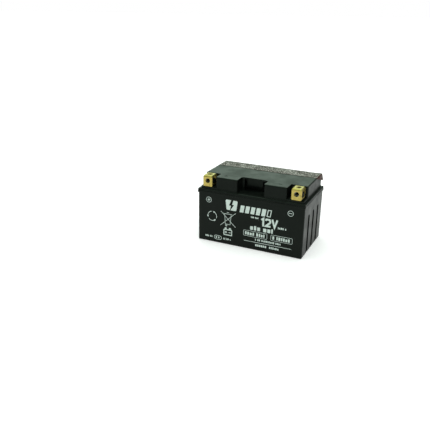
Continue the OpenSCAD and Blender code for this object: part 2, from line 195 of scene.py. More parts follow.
@dataclass
class EffectShelf:
    """Builds each shared effect once and places it in a finish's graph."""

    groups: dict[Effect, bpy.types.NodeTree] = field(default_factory=dict)

    def use(self, graph: Graph, effect: Effect, **values: float) -> Sockets:
        """Places an effect in a material.

        Args:
            graph: The material's graph.
            effect: The effect to place.
            **values: Its inputs, by name in lower case.

        Returns:
            The effect's outputs by name.
        """
        if effect not in self.groups:
            self.groups[effect] = self._build(effect)
        node = graph.node("ShaderNodeGroup", node_tree=self.groups[effect])
        for key, value in values.items():
            node.inputs[key].default_value = value
        return {socket.name: socket for socket in node.outputs}

    def _build(self, effect: Effect) -> bpy.types.NodeTree:
        """Builds one effect's node group."""
        number = "Float"
        recipes: dict[Effect, tuple[dict[str, float], dict[str, str], Callable]] = {
            Effect.SOFT_EDGES: (
                {"radius": 0.0004, "rub": 1.0}, {"normal": "Vector", "edge": number}, self._soft_edges
            ),
            Effect.MOULDED_SKIN: ({"scale": 1.0}, {"height": number, "cloud": number}, self._moulded_skin),
            Effect.SETTLED_DUST: ({"amount": 1.0}, {"dust": number}, self._settled_dust),
            Effect.FINE_SCUFFS: ({"amount": 1.0}, {"scuff": number}, self._fine_scuffs),
            Effect.BRUSHED_GRAIN: ({"scale": 1.0}, {"height": number, "streak": number}, self._brushed_grain),
        }
        inputs, outputs, fill = recipes[effect]
        tree = bpy.data.node_groups.new(effect.value, "ShaderNodeTree")
        for name, default in inputs.items():
            socket = tree.interface.new_socket(name=name, in_out="INPUT", socket_type="NodeSocketFloat")
            socket.default_value = default
        for name, kind in outputs.items():
            tree.interface.new_socket(name=name, in_out="OUTPUT", socket_type=f"NodeSocket{kind}")
        graph = Graph(tree)
        entry = graph.node("NodeGroupInput")
        results = fill(graph, {name: entry.outputs[name] for name in inputs})
        exit_node = graph.node("NodeGroupOutput")
        for name in outputs:
            graph.feed(exit_node.inputs[name], results[name])
        return tree

    @staticmethod
    def _soft_edges(g: Graph, given: Sockets) -> Sockets:
        """Rounds the light on sharp edges and finds where hands and straps rub them."""
        round_off = g.node("ShaderNodeBevel", {"Radius": given["radius"]}, samples=6).outputs[0]
        flat = g.node("ShaderNodeNewGeometry").outputs["Normal"]
        facing = g.node("ShaderNodeVectorMath", {0: round_off, 1: flat}, operation="DOT_PRODUCT")
        sharp = g.remap(g.math("SUBTRACT", 1.0, facing.outputs["Value"]), 0.01, 0.22)
        patchy = g.remap(g.noise(g.place(), 380.0, 4.0), 0.42, 0.66)
        return {"normal": round_off, "edge": g.product(sharp, patchy, given["rub"])}

    @staticmethod
    def _moulded_skin(g: Graph, given: Sockets) -> Sockets:
        """Orange-peel skin of an injection moulding, with the slow clouding of its gloss."""
        scaled = g.node("ShaderNodeVectorMath", {0: g.place(), "Scale": given["scale"]}, operation="SCALE")
        place = scaled.outputs["Vector"]
        peel = g.noise(place, 900.0, 2.0)
        pits = g.remap(g.cells(place, 2600.0).outputs["Distance"], 0.0, 0.6)
        height = g.math("ADD", g.math("MULTIPLY", peel, 0.7), g.math("MULTIPLY", pits, 0.3))
        return {"height": height, "cloud": g.remap(g.noise(place, 45.0, 4.0, 0.6), 0.32, 0.68)}

    @staticmethod
    def _settled_dust(g: Graph, given: Sockets) -> Sockets:
        """Fine dust on the faces that look up."""
        up = g.remap(g.axes(g.node("ShaderNodeNewGeometry").outputs["Normal"]).outputs["Z"], 0.35, 0.95)
        specks = g.remap(g.noise(g.place(), 3200.0, 2.0), 0.60, 0.74)
        drift = g.remap(g.noise(g.place(), 70.0, 5.0, 0.65), 0.42, 0.72)
        film = g.math("ADD", g.math("MULTIPLY", drift, 0.55), g.math("MULTIPLY", specks, 0.45))
        return {"dust": g.product(up, film, given["amount"])}

    @staticmethod
    def _fine_scuffs(g: Graph, given: Sockets) -> Sockets:
        """Short thin scuffs in two directions from boxes and trays."""
        one = g.remap(g.noise(g.stretched((60.0, 60.0, 1400.0)), 1.0, 3.0), 0.64, 0.72)
        two = g.remap(g.noise(g.stretched((1500.0, 900.0, 70.0)), 1.0, 3.0), 0.66, 0.74)
        where = g.remap(g.noise(g.place(), 55.0, 2.0), 0.45, 0.62)
        return {"scuff": g.product(g.math("MAXIMUM", one, two), where, given["amount"])}

    @staticmethod
    def _brushed_grain(g: Graph, given: Sockets) -> Sockets:
        """Drawn lines of rolled strip, along its length."""
        lines = g.noise(g.stretched((9000.0, 260.0, 260.0)), 1.0, 3.0)
        streak = g.remap(g.noise(g.stretched((1800.0, 60.0, 60.0)), 1.0, 4.0), 0.35, 0.65)
        return {"height": g.math("MULTIPLY", lines, given["scale"]), "streak": streak}


# ---- Finishes ----


def new_material(name: str) -> tuple[bpy.types.Material, Graph, bpy.types.Node]:
    """Makes an empty material.

    Args:
        name: The material's name.

    Returns:
        The material, its graph and its Principled shader.
    """
    material = bpy.data.materials.new(name)
    material.use_nodes = True
    material.node_tree.nodes.clear()
    graph = Graph(material.node_tree)
    shader = graph.node("ShaderNodeBsdfPrincipled")
    graph.node("ShaderNodeOutputMaterial", {"Surface": shader.outputs[0]})
    return material, graph, shader


@dataclass(frozen=True)
class MouldedPlastic:
    """Black moulded polypropylene with a satin skin."""

    name: str
    colour: Colour = (0.0035, 0.0040, 0.0035)
    worn_colour: Colour = (0.030, 0.034, 0.030)
    dust_colour: Colour = (0.085, 0.095, 0.085)
    sheen_tint: Colour = (0.84, 1.0, 0.87)
    specular: float = 0.12
    roughness: float = 0.30
    roughness_spread: float = 0.12
    skin_depth: float = 0.010
    dust: float = 0.10
    scuffs: float = 0.5
    edge_rub: float = 0.35
    edge_radius: float = 0.45
    scuff_share: float = 0.5
    dull_share: float = 0.25

    def build(self, shelf: EffectShelf) -> bpy.types.Material:
        """Builds the material with its skin, worn edges, scuffs and dust."""
        material, g, shader = new_material(self.name)
        edges = shelf.use(g, Effect.SOFT_EDGES, radius=self.edge_radius * MM, rub=self.edge_rub)
        skin = shelf.use(g, Effect.MOULDED_SKIN, scale=1.0)
        dust = shelf.use(g, Effect.SETTLED_DUST, amount=self.dust)
        scuffs = shelf.use(g, Effect.FINE_SCUFFS, amount=self.scuffs)
        worn = g.math("MAXIMUM", edges["edge"], g.math("MULTIPLY", scuffs["scuff"], self.scuff_share))
        base = g.mix(worn, colour4(self.colour), colour4(self.worn_colour))
        g.feed(shader.inputs["Base Color"], g.mix(dust["dust"], base, colour4(self.dust_colour)))
        rough = g.math("MULTIPLY_ADD", skin["cloud"], self.roughness_spread)
        rough.node.inputs[2].default_value = self.roughness
        dulled = g.math("MULTIPLY", g.math("ADD", worn, dust["dust"]), self.dull_share)
        g.feed(shader.inputs["Roughness"], g.math("ADD", rough, dulled))
        normal = g.bump(skin["height"], self.skin_depth, Normal=edges["normal"], Strength=1.0)
        g.feed(shader.inputs["Normal"], normal)
        shader.inputs["Specular IOR Level"].default_value = self.specular
        shader.inputs["Specular Tint"].default_value = colour4(self.sheen_tint)
        return material


@dataclass(frozen=True)
class ScreenInk:
    """Pale screen-printed ink with a slightly uneven coat."""

    name: str = "pale_screen_ink"
    colour: Colour = (0.60, 0.66, 0.64)
    thin_colour: Colour = (0.30, 0.33, 0.32)
    skin_depth: float = 0.01
    specular: float = 0.3

    def build(self, shelf: EffectShelf) -> bpy.types.Material:
        """Builds the material with pinholes and thin patches in the ink."""
        material, g, shader = new_material(self.name)
        patches = g.remap(g.noise(g.place(), 420.0, 4.0, 0.65), 0.50, 0.74)
        pinholes = g.remap(g.cells(g.place(), 2400.0).outputs["Distance"], 0.02, 0.22)
        thin = g.math("MAXIMUM", g.math("MULTIPLY", patches, 0.5), g.math("SUBTRACT", 1.0, pinholes))
        g.feed(shader.inputs["Base Color"], g.mix(thin, colour4(self.colour), colour4(self.thin_colour)))
        g.feed(shader.inputs["Roughness"], g.remap(patches, 0.0, 1.0, 0.42, 0.62))
        skin = shelf.use(g, Effect.MOULDED_SKIN, scale=1.6)
        g.feed(shader.inputs["Normal"], g.bump(skin["height"], self.skin_depth))
        shader.inputs["Specular IOR Level"].default_value = self.specular
        return material


@dataclass(frozen=True)
class PassivatedBrass:
    """Bright yellow strip metal with drawn lines and faint tarnish."""

    name: str = "passivated_brass"
    colour: Colour = (0.47, 0.37, 0.105)
    tarnish: Colour = (0.23, 0.17, 0.045)
    rubbed: Colour = (0.62, 0.50, 0.30)
    roughness: float = 0.34
    tarnish_share: float = 0.6
    grain_depth: float = 0.006

    def build(self, shelf: EffectShelf) -> bpy.types.Material:
        """Builds the metal with lines along the strip and tarnish in patches."""
        material, g, shader = new_material(self.name)
        edges = shelf.use(g, Effect.SOFT_EDGES, radius=0.25 * MM, rub=0.6)
        grain = shelf.use(g, Effect.BRUSHED_GRAIN, scale=1.0)
        stains = g.remap(g.noise(g.place(), 260.0, 5.0, 0.65), 0.47, 0.74)
        streaks = g.math("MULTIPLY", grain["streak"], 0.35)
        darker = g.math("MULTIPLY", g.math("MAXIMUM", stains, streaks), self.tarnish_share)
        base = g.mix(darker, colour4(self.colour), colour4(self.tarnish))
        g.feed(shader.inputs["Base Color"], g.mix(edges["edge"], base, colour4(self.rubbed)))
        rough = g.math("ADD", g.math("MULTIPLY", stains, 0.18), g.math("MULTIPLY", grain["streak"], 0.08))
        g.feed(shader.inputs["Roughness"], g.math("ADD", rough, self.roughness))
        g.feed(shader.inputs["Normal"], g.bump(grain["height"], self.grain_depth, Normal=edges["normal"]))
        shader.inputs["Metallic"].default_value = 1.0
        return material


@dataclass(frozen=True)
class PrintedFoil:
    """Grey printed heat-seal foil with rows of plain dashes and a dark rear border."""

    name: str = "printed_foil"
    silver: Colour = (0.085, 0.060, 0.056)
    pale: Colour = (0.46, 0.37, 0.38)
    brown: Colour = (0.030, 0.014, 0.011)
    maroon: Colour = (0.045, 0.008, 0.007)
    front: float = 15.0
    back: float = 40.4
    end: float = 70.6
    dash: Point = (1.7, 1.6)
    dash_gap: float = 0.26
    dash_offset: float = 0.37
    metallic: float = 0.10
    specular: float = 0.10
    crease_depth: float = 0.05

    def build(self, shelf: EffectShelf) -> bpy.types.Material:
        """Builds the foil with its print, border, tail colour and crinkle."""
        material, g, shader = new_material(self.name)
        axes = g.axes(g.place())
        dashes = self._dashes(g)
        level = g.axes(dashes.outputs["Color"]).outputs["X"]
        printed = g.math("SUBTRACT", 1.0, dashes.outputs["Fac"])
        margin_front = g.remap(axes.outputs["Y"], (self.front + 1.2) * MM, (self.front + 1.8) * MM)
        margin_back = g.remap(axes.outputs["Y"], (self.back - 3.2) * MM, (self.back - 3.8) * MM)
        inside = g.math("MULTIPLY", margin_front, margin_back)
        pale = g.product(printed, g.remap(level, 0.60, 0.66), inside)
        dark = g.product(printed, g.remap(level, 0.36, 0.30), inside)
        cloud = g.remap(g.noise(g.place(), 90.0, 4.0), 0.35, 0.65)
        base = g.mix(cloud, colour4(self.silver), colour4(tuple(0.6 * c for c in self.silver)))
        base = g.mix(dark, base, colour4(self.brown))
        base = g.mix(pale, base, colour4(self.pale))
        rear = g.remap(axes.outputs["Y"], (self.back - 3.0) * MM, (self.back - 2.4) * MM)
        base = g.mix(rear, base, colour4(self.brown))
        tail = g.remap(axes.outputs["X"], self.end * MM, (self.end + 0.5) * MM)
        g.feed(shader.inputs["Base Color"], g.mix(tail, base, colour4(self.maroon)))
        g.feed(shader.inputs["Roughness"], g.remap(cloud, 0.0, 1.0, 0.34, 0.55))
        inked = g.math("MAXIMUM", g.math("MAXIMUM", pale, dark), g.math("MAXIMUM", rear, tail))
        bare = g.math("SUBTRACT", 1.0, inked)
        g.feed(shader.inputs["Metallic"], g.math("MULTIPLY", bare, self.metallic))
        fine = g.math("MULTIPLY", g.noise(g.place(), 1500.0, 2.0), 0.25)
        creases = g.math("ADD", g.noise(g.place(), 420.0, 3.0), fine)
        g.feed(shader.inputs["Normal"], g.bump(creases, self.crease_depth, Strength=0.7))
        shader.inputs["Specular IOR Level"].default_value = self.specular
        return material

    def _dashes(self, g: Graph) -> bpy.types.Node:
        """Adds the rows of dashes, each with its own shade."""
        width, height = self.dash
        values = {
            "Vector": g.place(),
            "Scale": 1.0,
            "Color1": (0.0, 0.0, 0.0, 1.0),
            "Color2": (1.0, 1.0, 1.0, 1.0),
            "Mortar Size": self.dash_gap * MM,
            "Mortar Smooth": 0.2,
            "Bias": 0.0,
            "Brick Width": width * MM,
            "Row Height": height * MM,
        }
        return g.node("ShaderNodeTexBrick", values, offset=self.dash_offset)


@dataclass(frozen=True)
class PlainSolid:
    """A plain inner material with its own grain: rubber, lead, paste, resin, mat or sintered disc."""

    name: str
    colour: Colour
    fleck: Colour
    roughness: float
    metallic: float = 0.0
    grain_size: float = 0.8
    grain_depth: float = 0.05
    coat: float = 0.0

    def build(self, shelf: EffectShelf) -> bpy.types.Material:
        """Builds the material with a cloudy fleck and a fine bump."""
        material, g, shader = new_material(self.name)
        scale = 1.0 / (self.grain_size * MM)
        grain = g.noise(g.place(), scale, 4.0, 0.6)
        cloud = g.remap(g.noise(g.place(), scale * 0.12, 3.0), 0.35, 0.65)
        fleck = g.math("MULTIPLY", g.remap(grain, 0.42, 0.62), 0.6)
        share = g.math("ADD", fleck, g.math("MULTIPLY", cloud, 0.4))
        g.feed(shader.inputs["Base Color"], g.mix(share, colour4(self.colour), colour4(self.fleck)))
        uneven = g.math("ADD", g.math("MULTIPLY", grain, 0.2), self.roughness - 0.1)
        g.feed(shader.inputs["Roughness"], uneven)
        edges = shelf.use(g, Effect.SOFT_EDGES, radius=0.2 * MM, rub=0.0)
        g.feed(shader.inputs["Normal"], g.bump(grain, self.grain_depth, Normal=edges["normal"]))
        shader.inputs["Metallic"].default_value = self.metallic
        shader.inputs["Coat Weight"].default_value = self.coat
        return material


# ---- Mesh building ----


@dataclass
class FlatShape:
    """Flat faces over shared points, in millimetres."""

    points: list[Point] = field(default_factory=list)
    faces: list[tuple[int, ...]] = field(default_factory=list)

    def outline(self, loop: Sequence[Point]) -> None:
        """Adds one filled outline."""
        first = len(self.points)
        self.points.extend(loop)
        self.faces.append(tuple(range(first, first + len(loop))))

    def band(self, one: Sequence[Point], other: Sequence[Point], closed: bool) -> None:
        """Adds the strip between two lines of equal length.

        Args:
            one: The first line's points.
            other: The second line's points.
            closed: Whether the strip joins its own start.
        """
        first, count = len(self.points), len(one)
        self.points.extend(one)
        self.points.extend(other)
        for k in range(count if closed else count - 1):
            nxt = (k + 1) % count
            self.faces.append((first + k, first + nxt, first + count + nxt, first + count + k))

    def bar(
        self, x0: float, x1: float, z0: float, z1: float, radius: float = 0.0, slant: float = 0.0
    ) -> None:
        """Adds a filled bar with round corners, leaning by slant."""
        self.outline([(x + slant * (z - z0) / (z1 - z0), z) for x, z in round_box(x0, x1, z0, z1, radius)])

    def plus(self, centre: Point, arm: float, half: float) -> None:
        """Adds a plus sign, with the length of its arms and half their width."""
        x, z = centre
        corners = ((-1, -1), (1, -1), (1, 1), (-1, 1))
        loop: list[Point] = []
        for sx, sz in corners:
            along = [(x + sx * a, z + sz * b) for a, b in ((arm, half), (half, half), (half, arm))]
            loop += along if sx * sz > 0 else along[::-1]
        self.outline(loop)

    def frame(self, x0: float, x1: float, z0: float, z1: float, width: float, radius: float) -> None:
        """Adds the outline of a box with round corners."""
        inner = round_box(x0 + width, x1 - width, z0 + width, z1 - width, max(radius - width, 0.05))
        self.band(round_box(x0, x1, z0, z1, radius), inner, closed=True)

    def arc(
        self, centre: Point, outer: float, inner: float, start: float = 0.0, sweep: float = 360.0
    ) -> None:
        """Adds a ring or a part of one, with angles in degrees."""
        closed = sweep >= 360.0
        steps = max(6, int(sweep / ARC_STEP))
        angles = [math.radians(start + sweep * k / steps) for k in range(steps if closed else steps + 1)]
        one, other = ([on_circle(centre, r, a) for a in angles] for r in (outer, inner))
        self.band(one, other, closed)

    def stroke(self, line: Sequence[Point], width: float) -> None:
        """Adds a line of even width with mitred corners."""
        left, right = [], []
        for k, (x, z) in enumerate(line):
            before = Vector(line[max(k - 1, 0)])
            after = Vector(line[min(k + 1, len(line) - 1)])
            here = Vector((x, z))
            into = (here - before).normalized() if k > 0 else (after - here).normalized()
            out = (after - here).normalized() if k < len(line) - 1 else into
            side = Vector((-(into.y + out.y), into.x + out.x)).normalized()
            reach = width / 2 / max(side.dot(Vector((-into.y, into.x))), 0.35)
            left.append((x + side.x * reach, z + side.y * reach))
            right.append((x - side.x * reach, z - side.y * reach))
        self.band(left, right, closed=False)


def on_circle(centre: Point, radius: float, angle: float) -> Point:
    """A point on a circle at an angle in radians."""
    return (centre[0] + radius * math.cos(angle), centre[1] + radius * math.sin(angle))


def round_box(x0: float, x1: float, z0: float, z1: float, radius: float) -> list[Point]:
    """Corner points of a box with round corners, going round once."""
    if radius <= 0:
        return [(x0, z0), (x1, z0), (x1, z1), (x0, z1)]
    radius = min(radius, (x1 - x0) / 2 - 1e-3, (z1 - z0) / 2 - 1e-3)
    left, right, low, high = x0 + radius, x1 - radius, z0 + radius, z1 - radius
    corners = (((right, low), -90), ((right, high), 0), ((left, high), 90), ((left, low), 180))
    loop = []
    for centre, start in corners:
        angles = (start + CORNER_STEP * k for k in range(int(90 / CORNER_STEP) + 1))
        loop += [on_circle(centre, radius, math.radians(angle)) for angle in angles]
    return loop


def new_piece(
    name: str,
    mesh_maker: bmesh.types.BMesh,
    material: bpy.types.Material,
    body: str,
    smooth: bool,
) -> bpy.types.Object:
    """Turns a finished bmesh into a piece that rides on a body.

    Args:
        name: The piece's name.
        mesh_maker: The bmesh, in metres; it is freed.
        material: Its finish.
        body: The body it rides on.
        smooth: Whether its faces shade smoothly.

    Returns:
        The new object.
    """
    bmesh.ops.recalc_face_normals(mesh_maker, faces=mesh_maker.faces)
    mesh = bpy.data.meshes.new(name)
    mesh_maker.to_mesh(mesh)
    mesh_maker.free()
    if smooth:
        mesh.shade_smooth()
    mesh.materials.append(material)
    piece = bpy.data.objects.new(name, mesh)
    bpy.context.scene.collection.objects.link(piece)
    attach(piece, body)
    return piece


def body_of_node(node: str) -> str:
    """The name of the body that a CAD node belongs to."""
    return next(body for body, nodes in frame["record"]["behaviour"]["bodies"].items() if node in nodes)


# ---- Sub-assemblies ----


@dataclass
class DressedNodes:
    """CAD nodes that keep their shape and get a finish."""

    title: str
    nodes: tuple[str, ...]
    finish: MouldedPlastic | PassivatedBrass | PlainSolid

    def dress(self, shelf: EffectShelf) -> None:
        """Puts the finish on every material slot of the nodes."""
        material = self.finish.build(shelf)
        for name in self.nodes:
            mesh = frame["nodes"][name].data
            if not mesh.materials:
                mesh.materials.append(material)
            for index in range(len(mesh.materials)):
                mesh.materials[index] = material
        LOG.info("%s: %d node(s) in %s", self.title, len(self.nodes), material.name)


@dataclass
class FrontPrint:
    """The pale marks on the container's front: plain shapes, bars and a rating, with no names."""

    ink_t: float = 0.05
    sink: float = 0.01
    face_y: float = -42.7
    finish: ScreenInk = ScreenInk()
    emblem: tuple[float, float, float, float] = (-33.6, -16.4, 50.6, 64.8)
    gauge: tuple[float, float, float, float] = (-13.2, 31.5, 50.4, 60.2)
    gauge_gap: float = 2.1
    gauge_slant: float = 1.6
    open_line_w: float = 1.1
    line_w: float = 0.6
    box_line_w: float = 0.45
    rating_w: float = 2.5
    seed: int = 12

    def build(self, shelf: EffectShelf) -> None:
        """Builds every mark as a thin closed piece on the front face."""
        material = self.finish.build(shelf)
        marks = {
            "print_emblem": self._emblem(),
            "print_gauge": self._gauge(),
            "print_rating": self._rating(),
            "print_polarity": self._polarity(),
            "print_recycling_ring": self._recycling(),
            "print_crossed_bin": self._crossed_bin(),
            "print_cell_sign": self._cell_sign(),
            "print_boxes": self._boxes(),
            "print_lines": self._lines(),
        }
        for name, shape in marks.items():
            self._piece(name, shape, material)
            LOG.info("%s: %d faces", name, len(shape.faces))

    def _piece(self, name: str, shape: FlatShape, material: bpy.types.Material) -> None:
        """Turns a flat shape into a thin solid on the front face."""
        maker = bmesh.new()
        depths = (self.face_y + self.sink, self.face_y - self.ink_t)
        back, front = ([maker.verts.new((x * MM, y * MM, z * MM)) for x, z in shape.points] for y in depths)
        for face in shape.faces:
            maker.faces.new([back[k] for k in face])
            maker.faces.new([front[k] for k in face])
        sides = [(face[k - 1], face[k]) for face in shape.faces for k in range(len(face))]
        shared = Counter(frozenset(side) for side in sides)
        for a, b in sides:
            if shared[frozenset((a, b))] == 1:
                maker.faces.new((back[a], back[b], front[b], front[a]))
        new_piece(name, maker, material, body_of_node("container"), smooth=False)

    def _emblem(self) -> FlatShape:
        """A round-cornered tile split by a bolt."""
        x0, x1, z0, z1 = self.emblem
        shape = FlatShape()
        mid, half = (x0 + x1) / 2, (z1 - z0) / 2
        low, high = z0 + half - 0.7, z0 + half + 1.0
        left_cut = [(mid - 0.6, z1), (mid - 3.6, low), (mid - 0.8, low), (mid - 2.2, z0)]
        right_cut = [(mid + 2.6, z1), (mid + 0.7, high), (mid + 3.6, high), (mid - 1.4, z0)]
        shape.outline([*left_cut, (x0 + 2.6, z0), (x0 + 1.4, z0 + 1.2), (x0, z1 - 1.4), (x0 + 1.2, z1)])
        shape.outline([*right_cut, (x1 - 2.6, z0), (x1 - 1.4, z0 + 1.2), (x1, z1 - 1.4), (x1 - 1.2, z1)])
        return shape

    def _gauge(self) -> FlatShape:
        """Six leaning blocks, one for each cell, the last one open."""
        x0, x1, z0, z1 = self.gauge
        shape = FlatShape()
        width = (x1 - x0 - self.gauge_slant - 5 * self.gauge_gap) / 6
        for k in range(6):
            left = x0 + k * (width + self.gauge_gap)
            if k < 5:
                shape.bar(left, left + width, z0, z1, 0.5, self.gauge_slant)
            else:
                self._open_cell(shape, left, left + width)
        return shape

    def _open_cell(self, shape: FlatShape, x0: float, x1: float) -> None:
        """Adds the last, open cell of the gauge to a shape."""
        z0, z1 = self.gauge[2:]
        w, lean = self.open_line_w, self.gauge_slant / (z1 - z0)
        outer = [(x + lean * (z - z0), z) for x, z in round_box(x0, x1, z0, z1, 0.5)]
        inner = [(x + lean * (z - z0), z) for x, z in round_box(x0 + w, x1 - w, z0 + w, z1 - w, 0.2)]
        shape.band(outer, inner, closed=True)

    def _rating(self) -> FlatShape:
        """The nominal voltage in plain strokes."""
        shape = FlatShape()
        z0, z1, w = 36.2, 48.0, self.rating_w
        low, high = z0 + w / 2, z1 - w / 2
        shape.stroke([(17.6, z1 - 3.0), (20.4, high + 0.3), (20.4, z0)], w)
        bowl = [(23.6, z1 - 3.2), (24.6, high), (29.0, high), (30.0, z1 - 3.6), (29.6, z1 - 5.4)]
        shape.stroke([*bowl, (24.0, low), (30.6, low)], w)
        shape.stroke([(32.6, z1), (36.0, z0 + 1.2), (39.4, z1)], w)
        return shape

    def _polarity(self) -> FlatShape:
        """Ringed plus and minus signs under their terminals."""
        shape = FlatShape()
        positive, negative = (-58.2, 60.6), (56.3, 60.4)
        for centre in (positive, negative):
            shape.arc(centre, 3.9, 3.35)
        shape.plus(positive, 2.2, 0.4)
        shape.bar(54.1, 58.5, 60.0, 60.8)
        return shape

    def _recycling(self) -> FlatShape:
        """Three arrows that follow each other round."""
        shape = FlatShape()
        centre, r, half, barb = (-53.0, 38.0), 6.6, 0.35, 1.3
        sweep, tip = 78.0, 104.0
        for k in range(3):
            start = 100.0 + 120.0 * k
            shape.arc(centre, r + half, r - half, start, sweep)
            a, b = math.radians(start + sweep), math.radians(start + tip)
            corners = ((r + barb, a), (r, b), (r - barb, a))
            shape.outline([on_circle(centre, reach, angle) for reach, angle in corners])
        return shape

    def _crossed_bin(self) -> FlatShape:
        """A bin in outline under a cross."""
        shape = FlatShape()
        w = self.line_w
        shape.stroke([(-34.6, 43.6), (-33.4, 29.8), (-26.4, 29.8), (-25.2, 43.6)], w)
        shape.stroke([(-36.2, 44.6), (-23.8, 44.6)], w)
        shape.stroke([(-31.6, 46.6), (-28.2, 46.6)], w)
        shape.arc((-32.0, 28.0), 1.3, 0.6)
        shape.stroke([(-40.4, 47.4), (-18.6, 27.2)], w)
        shape.stroke([(-40.4, 27.2), (-18.6, 47.4)], w)
        return shape

    def _cell_sign(self) -> FlatShape:
        """A small battery with its two poles."""
        shape = FlatShape()
        shape.frame(-36.0, -23.2, 13.6, 22.6, 1.3, 1.2)
        shape.bar(-34.2, -31.2, 22.9, 24.8)
        shape.bar(-28.0, -25.0, 22.9, 24.8)
        shape.plus((-32.4, 18.1), 1.6, 0.5)
        shape.bar(-28.2, -25.2, 17.6, 18.6)
        return shape

    def _boxes(self) -> FlatShape:
        """Two outlined boxes, a long rule and an oval."""
        shape = FlatShape()
        shape.frame(-7.0, 26.5, 18.6, 26.8, self.box_line_w, 1.4)
        shape.frame(31.5, 61.0, 18.6, 26.8, self.box_line_w, 1.4)
        shape.bar(-6.0, 60.0, 11.3, 11.9)
        shape.frame(-50.0, -38.4, 4.9, 11.1, self.line_w, 3.0)
        return shape

    def _lines(self) -> FlatShape:
        """Rows of plain blocks where small print would stand."""
        shape = FlatShape()
        # Ends and heights of each row, and how wide its blocks are for their height
        rows = (
            (2.5, 34.0, 28.4, 34.6, 0.62),
            (3.0, 15.5, 45.1, 47.3, 0.5),
            (40.6, 52.5, 36.2, 39.0, 0.5),
            (-4.6, 24.2, 20.4, 24.9, 0.5),
            (33.9, 58.8, 20.4, 24.9, 0.5),
            (10.0, 45.5, 14.1, 16.8, 0.5),
            (10.5, 28.0, 6.2, 9.2, 0.62),
            (30.0, 44.0, 6.2, 9.2, 0.5),
            (-63.0, -52.6, 6.8, 9.4, 0.5),
            (-47.4, -41.0, 6.6, 9.4, 0.6),
            (-36.0, -25.0, 6.6, 9.2, 0.5),
        )
        draw = random.Random(self.seed)
        for x0, x1, z0, z1, weight in rows:
            height = z1 - z0
            x = x0
            while x < x1 - 0.3 * height:
                width = height * weight * draw.uniform(0.75, 1.35)
                top = z1 - height * draw.choice((0.0, 0.0, 0.18))
                shape.bar(x, min(x + width, x1), z0, top, 0.12 * height)
                x += width + height * draw.choice((0.2, 0.2, 0.22, 0.7))
        return shape


